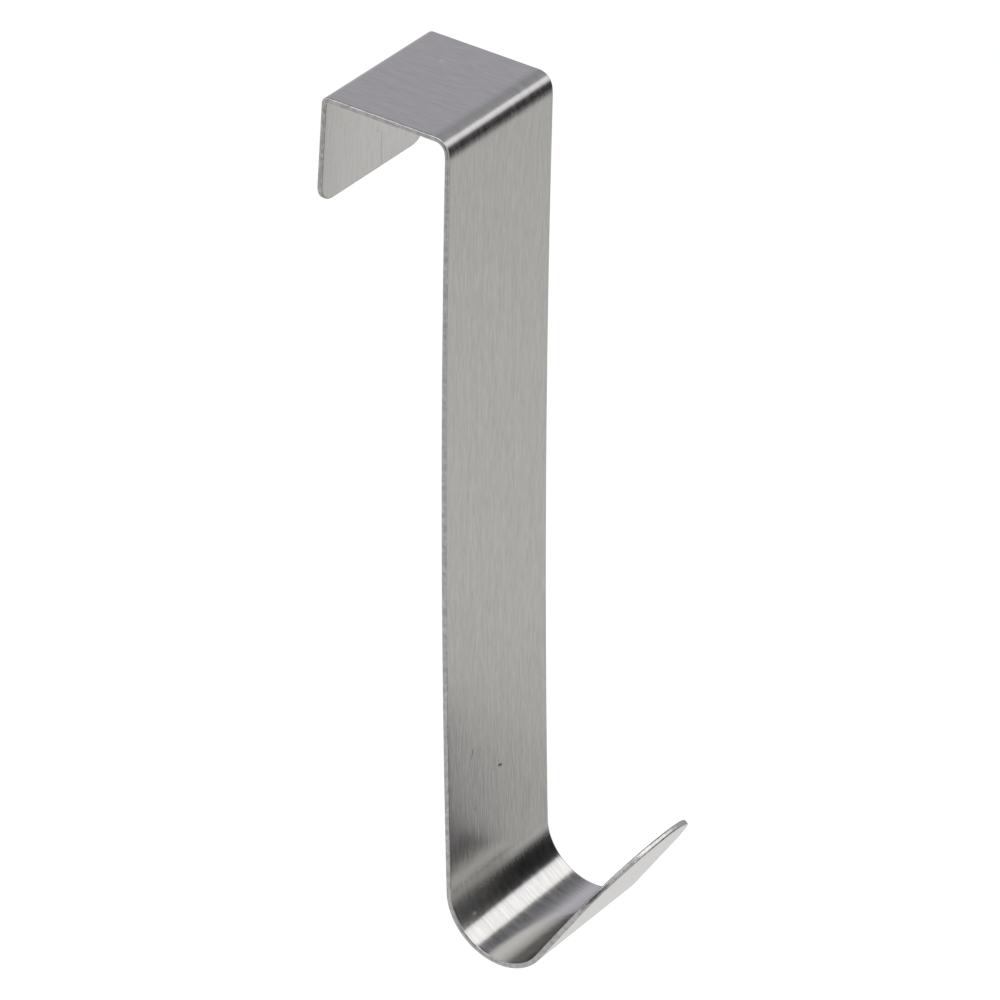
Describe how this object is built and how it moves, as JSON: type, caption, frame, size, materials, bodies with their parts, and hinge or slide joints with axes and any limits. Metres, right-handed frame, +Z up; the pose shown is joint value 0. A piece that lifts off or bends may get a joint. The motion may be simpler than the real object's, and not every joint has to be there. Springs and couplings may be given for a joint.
{
  "type": "over door hook",
  "caption": "Over-door hook folded from a strip of brushed steel: a square saddle with a short back lip grips the door's top edge, and a long leg ends in an upturned hook with a round tongue.",
  "frame": {"origin": "centre of the saddle's underside, where the door's top edge sits, midway across the gap for the door", "axes": "+Z up, -Y away from the door on the hook's side, +Y towards the short lip behind the door, X across the strip"},
  "size_m": [0.045, 0.0975, 0.2502],
  "materials": {
    "brushed_steel": "stainless sheet brushed along its length, with sheared edges left as cut"
  },
  "bodies": {
    "root": {"hook_strip": "brushed_steel"}
  },
  "joints": []
}
